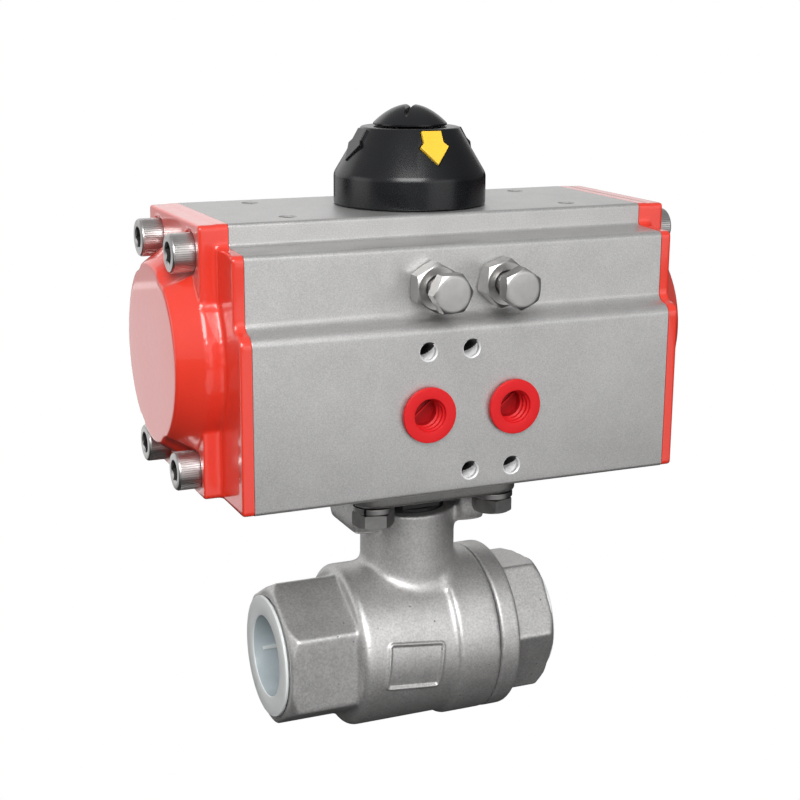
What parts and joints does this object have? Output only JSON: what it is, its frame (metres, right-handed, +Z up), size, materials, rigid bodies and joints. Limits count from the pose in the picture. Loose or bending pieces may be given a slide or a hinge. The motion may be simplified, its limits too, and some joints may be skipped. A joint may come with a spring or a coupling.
{
  "type": "pneumatic actuated valve",
  "caption": "Threaded stainless ball valve with a rack-and-pinion pneumatic actuator bolted to its pad; pistons turn pinion, stem, ball and position indicator a quarter turn.",
  "frame": {"origin": "centre of the ball, where the pipe axis meets the stem axis", "axes": "+X along the pipe towards the screwed-in end cap, -Y the side of the air ports and stop bolts, +Z up along the stem to the position indicator"},
  "size_m": [0.1448, 0.0799, 0.1745],
  "materials": {
    "anodised_aluminium": "bead blasted, anodised",
    "red_paint": "glossy powder coat",
    "bright_steel": "bright",
    "dark_steel": "machined",
    "cast_stainless": "investment cast, bead blasted",
    "polished_stainless": "polished",
    "black_plastic": "satin moulded",
    "yellow_plastic": "satin moulded",
    "red_plastic": "moulded",
    "milky_plastic": "translucent, soft",
    "white_polymer": "machined",
    "black_rubber": "moulded"
  },
  "bodies": {
    "housing": {"actuator_body": "anodised_aluminium", "body_seal": "white_polymer", "cap_screw_left_lower_front": "bright_steel", "cap_screw_left_lower_rear": "bright_steel", "cap_screw_left_upper_front": "bright_steel", "cap_screw_left_upper_rear": "bright_steel", "cap_screw_right_lower_front": "bright_steel", "cap_screw_right_lower_rear": "bright_steel", "cap_screw_right_upper_front": "bright_steel", "cap_screw_right_upper_rear": "bright_steel", "cap_seal_left": "black_rubber", "cap_seal_right": "black_rubber", "end_cap_left": "red_paint", "end_cap_right": "red_paint", "gland_ring": "polished_stainless", "lower_shaft_bush": "white_polymer", "pad_bolt_front_left": "bright_steel", "pad_bolt_front_right": "bright_steel", "pad_bolt_rear_left": "bright_steel", "pad_bolt_rear_right": "bright_steel", "pad_washer_front_left": "bright_steel", "pad_washer_front_right": "bright_steel", "pad_washer_rear_left": "bright_steel", "pad_washer_rear_right": "bright_steel", "port_plug_left": "red_plastic", "port_plug_right": "red_plastic", "stem_packing": "white_polymer", "stop_bolt_left": "bright_steel", "stop_bolt_right": "bright_steel", "stop_nut_left": "bright_steel", "stop_nut_right": "bright_steel", "thread_protector_left": "milky_plastic", "thread_protector_right": "milky_plastic", "upper_shaft_bush": "white_polymer", "valve_body": "cast_stainless", "valve_end_cap": "cast_stainless", "valve_seat_left": "white_polymer", "valve_seat_right": "white_polymer"},
    "drive": {"drive_pinion": "dark_steel", "stop_cam": "dark_steel", "shaft_circlip": "dark_steel", "shaft_thrust_washer": "white_polymer", "upper_shaft_seal": "black_rubber", "lower_shaft_seal": "black_rubber", "indicator_cup": "black_plastic", "arrow_insert_front": "yellow_plastic", "arrow_insert_rear": "yellow_plastic", "indicator_screw": "black_plastic", "ball": "polished_stainless", "valve_stem": "polished_stainless", "stem_thrust_washer": "white_polymer", "gland_nut": "polished_stainless"},
    "piston_left_set": {"piston_left": "anodised_aluminium", "piston_seal_left": "black_rubber", "guide_band_left": "white_polymer"},
    "piston_right_set": {"piston_right": "anodised_aluminium", "piston_seal_right": "black_rubber", "guide_band_right": "white_polymer"}
  },
  "joints": [
    {"name": "drive_turn", "type": "hinge", "parent": "housing", "child": "drive", "pos_m": [0, 0, 0], "axis": [0, 0, 1], "range_deg": [0, 90]},
    {"name": "piston_left_slide", "type": "slide", "parent": "housing", "child": "piston_left_set", "axis": [-1, 0, 0], "range_m": [0, 0.01414]},
    {"name": "piston_right_slide", "type": "slide", "parent": "housing", "child": "piston_right_set", "axis": [1, 0, 0], "range_m": [0, 0.01414]}
  ],
  "couplings": [
    {"joint": "piston_left_slide", "follows": "drive_turn", "m_per_rad": 0.009},
    {"joint": "piston_right_slide", "follows": "drive_turn", "m_per_rad": 0.009}
  ]
}
